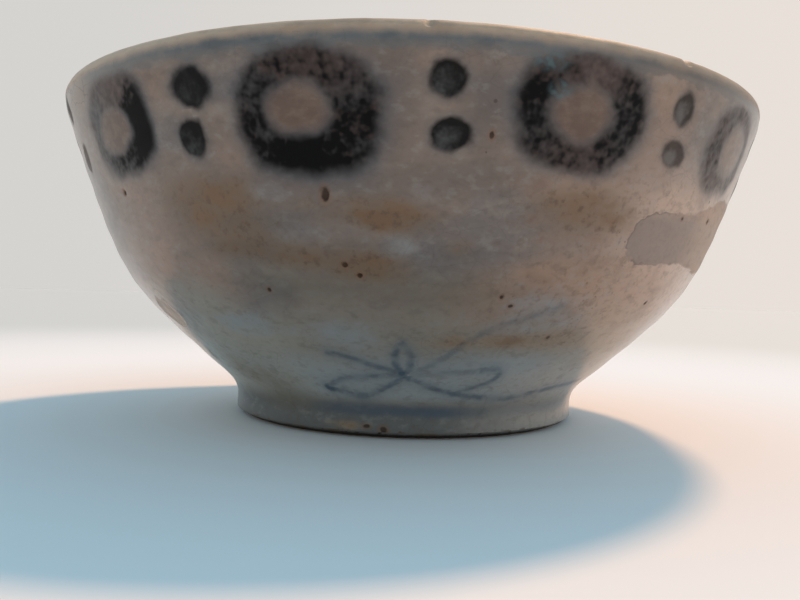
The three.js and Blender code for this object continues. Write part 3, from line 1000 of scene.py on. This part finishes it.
def glaze_coat(surface):
    """A closed coat of glaze whose visible side follows the surface."""
    under = moved(evenly(surface, coarse), steadily(glaze_thickness))
    section = [*surface, *reversed(under)]
    on_axis = min(place.x for place in section) < seat_gap
    return turned(section, closed=not on_axis, face=lambda index: 1 if index < len(surface) else 0)


def throwing_marks(place):
    """Height of the ridges that the fingers leave going round, which come and go along the wall."""
    ridge_height = 0.09 * MM
    ridge_pitch = 5.5 * MM
    sway = noise.noise(place * 18)
    ridge = math.sin(2 * math.pi * (place.z / ridge_pitch + 0.12 * sway))
    return ridge_height * ridge * (0.5 + 0.5 * noise.noise(Vector((0, 0, place.z * 70))))


def lay_relief(mesh, marks, hollows):
    """Moves the visible side of a coat by the hand's marks and its hollows, then warps all of it."""
    mesh.normal_update()
    shown = mesh.verts.layers.float["shown"]
    for corner in mesh.verts:
        height = 0
        if corner[shown] > 0.5:
            height = marks(corner.co) - sum(dent(corner.co, hollow) for hollow in hollows)
            height += uneven(corner.co, 0.05, 90)
            height *= min(1, max(0, glaze_top - corner.co.z) / MM)
        corner.co = kiln_warp(corner.co + corner.normal * height)


outer = glaze_coat(outer_surface)
refined(outer, [spray_region], 1)
refined(outer, glaze_pits + glaze_flakes, 3)
paint_places(outer)
brush_places(outer)
worn_places(outer)
lay_relief(outer, throwing_marks, glaze_pits + glaze_flakes)
row_names = ("painted_ring", "upper_dot", "lower_dot")
outer_nodes = ["outer_glaze", "painted_spray", "lip_band", "foot_line"]
outer_nodes += [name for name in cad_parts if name.startswith(row_names)]
finished("painted_glaze", outer, painted_finish(), outer_nodes)

# The inner glaze
# The coat inside the bowl is the same glaze, stained in soft clouds and finely crackled. The brush left
# it plain, and the finger's spiral runs over its floor and up its wall.


def plain_finish(name, fresh, worn):
    """Glaze with nothing painted under it, greyer and duller where it has been used."""
    material, start, shader = new_finish(name)
    place = object_places(start)[0]
    clouds = place.grain(18, 4, 0.55)
    blots = place.grain(4, 4, 0.6)
    flecks = place.grain(0.9, 3, 0.65)
    colour = start.even(fresh)
    colour = colour.coat(worn, clouds.rising(0.42, 0.62))
    colour = colour.coat(seen(128, 108, 86), (blots * clouds).rising(0.2, 0.5) * 0.34)
    colour = colour.coat(seen(96, 84, 74), flecks.rising(0.62, 0.74) * 0.4)
    cracks = place.crackle(place.grain(6, 2), 6) * clouds.rising(0.4, 0.6)
    colour = colour.coat(seen(92, 78, 66), cracks * 0.35)
    colour = colour.coat(seen(66, 50, 42), place.specks(7, 0.4, 0.4) * 0.7)
    join(colour, shader, "Base Color")
    join(0.24 + 0.22 * blots, shader, "Roughness")
    shader.inputs["Coat Weight"].default_value = 0.6
    shader.inputs["Coat Roughness"].default_value = 0.16
    raised(0.4 * clouds + 0.15 * flecks, shader, 0.12 * MM)
    return material


def floor_marks(place):
    """The finger's spiral over the floor and up the wall."""
    ridge_height = 0.08 * MM
    ridge_pitch = 6.5 * MM
    path = math.hypot(place.x, place.y) * 0.6 + place.z
    swirl = math.atan2(place.x, -place.y) / (2 * math.pi)
    fading = 0.45 + 0.55 * noise.noise(Vector((0, 0, path * 60)))
    return ridge_height * fading * math.sin(2 * math.pi * (path / ridge_pitch + swirl))


inner = glaze_coat(inner_surface)
lay_relief(inner, floor_marks, [])
inner_finish = plain_finish("inner_glaze_finish", seen(158, 152, 144), seen(142, 133, 123))
finished("inner_coat", inner, inner_finish, ["inner_glaze"])

# The glaze in the foot ring
# The hollow under the base was dipped too. It kept the bluish tone of glaze that no hand has worn.


def turning_marks(place):
    """The shallow rings, about 4 mm apart, that the turning tool left under the base."""
    return 0.04 * MM * math.sin(math.hypot(place.x, place.y) * 1600)


well_coat = glaze_coat(recess_surface)
lay_relief(well_coat, turning_marks, [])
well_finish = plain_finish("foot_well_finish", seen(132, 138, 138), seen(118, 118, 112))
finished("foot_well_coat", well_coat, well_finish, ["foot_well_glaze"])

# The floor, the lamps and the camera
# A plain pale floor, made greyer far from the bowl by painted shade, under an even pale surround. One soft
# lamp stands high behind the bowl, and the surround is brighter low down, where the leaning wall faces, and
# bluer overhead.
floor_colour = seen(226, 217, 210)
floor_reach = 3


def pale_floor():
    """A plain matt finish, greyer far from the bowl and more so on the left, in painted shade."""
    material, start, shader = new_finish("pale_floor")
    x, y = object_places(start)[1][:2]
    colour = start.even(floor_colour)
    far_out = off_axis(x, y)
    far_shade_colour = start.even(seen(191, 188, 182))
    far_shade_colour = far_shade_colour.coat(seen(208, 199, 189), (x / far_out).rising(-0.5, 0.5))
    colour = colour.coat(far_shade_colour, far_out.rising(120, 420))
    join(colour, shader, "Base Color")
    shader.inputs["Roughness"].default_value = 0.9
    shader.inputs["Specular IOR Level"].default_value = 0.1
    return material


floor_mesh = bmesh.new()
bmesh.ops.create_grid(floor_mesh, x_segments=2, y_segments=2, size=floor_reach)
floor_data = bpy.data.meshes.new("floor")
floor_mesh.to_mesh(floor_data)
floor_mesh.free()
floor_data.materials.append(pale_floor())
floor = bpy.data.objects.new("floor", floor_data)
bpy.context.scene.collection.objects.link(floor)

bowl_middle = Vector((0, 0, bowl_height / 2))
lamp_place = Vector((0.36, 0.58, 1.0))
lamp_data = bpy.data.lights.new("high_lamp", "SUN")
lamp_data.energy = 2.7
lamp_data.color = (1, 0.61, 0.36)
lamp_data.angle = math.radians(6)
lamp = bpy.data.objects.new("high_lamp", lamp_data)
lamp.location = lamp_place
lamp.rotation_euler = (lamp_place - bowl_middle).to_track_quat("Z", "Y").to_euler()
bpy.context.scene.collection.objects.link(lamp)

world = bpy.data.worlds.new("studio")
world.use_nodes = True
bpy.context.scene.world = world
sky = Wire(world.node_tree)
toward_right, behind, above = sky.node("ShaderNodeTexCoord").parts()
surround = sky.even(seen(213, 211, 208))
surround = surround.coat(seen(232, 224, 217), toward_right.rising(-0.5, 0.5))
flanks = (0.75 + 0.65 * behind.rising(-0.85, 0.35)) * (1 + 0.4 * toward_right.rising(-0.1, 0.9))
strength = flanks * (1.25 - 0.55 * above.rising(0.05, 0.6))
tint = sky.even((1.04, 0.95, 0.87, 1))
tint = tint.coat((0.42, 0.82, 1.12, 1), above.rising(0.15, 0.5))
lit = sky.node("ShaderNodeBackground", inputs={"Color": tint, "Strength": strength})
shown = sky.node("ShaderNodeBackground", inputs={"Color": surround, "Strength": 1})
mirrored = sky.node("ShaderNodeBackground", inputs={"Color": surround, "Strength": (flanks * 0.8).least(1)})
path = sky.node("ShaderNodeLightPath")
seen_plainly = path.beside("Is Camera Ray").most(path.beside("Is Transmission Ray"))
mixed = sky.node("ShaderNodeMixShader", inputs={0: path.beside("Is Glossy Ray"), 1: lit, 2: mirrored})
mixed = sky.node("ShaderNodeMixShader", inputs={0: seen_plainly, 1: mixed, 2: shown})
world.node_tree.links.new(mixed.socket, world.node_tree.nodes["World Output"].inputs["Surface"])

camera_place = (0, -180.5 * MM, 27.6 * MM)
camera_turn = math.radians(0.46)
camera_pitch = math.radians(-0.53)
camera_roll = math.radians(1.71)
camera_data = bpy.data.cameras.new("camera")
camera_data.lens = 34.2
camera_data.sensor_width = 36
camera_data.clip_start = 0.01
camera = bpy.data.objects.new("camera", camera_data)
level = Matrix.Rotation(camera_turn, 4, "Z") @ Matrix.Rotation(math.pi / 2 + camera_pitch, 4, "X")
camera.matrix_world = Matrix.Translation(camera_place) @ level @ Matrix.Rotation(camera_roll, 4, "Z")
bpy.context.scene.collection.objects.link(camera)
bpy.context.scene.camera = camera
bpy.context.scene.view_settings.view_transform = "Standard"
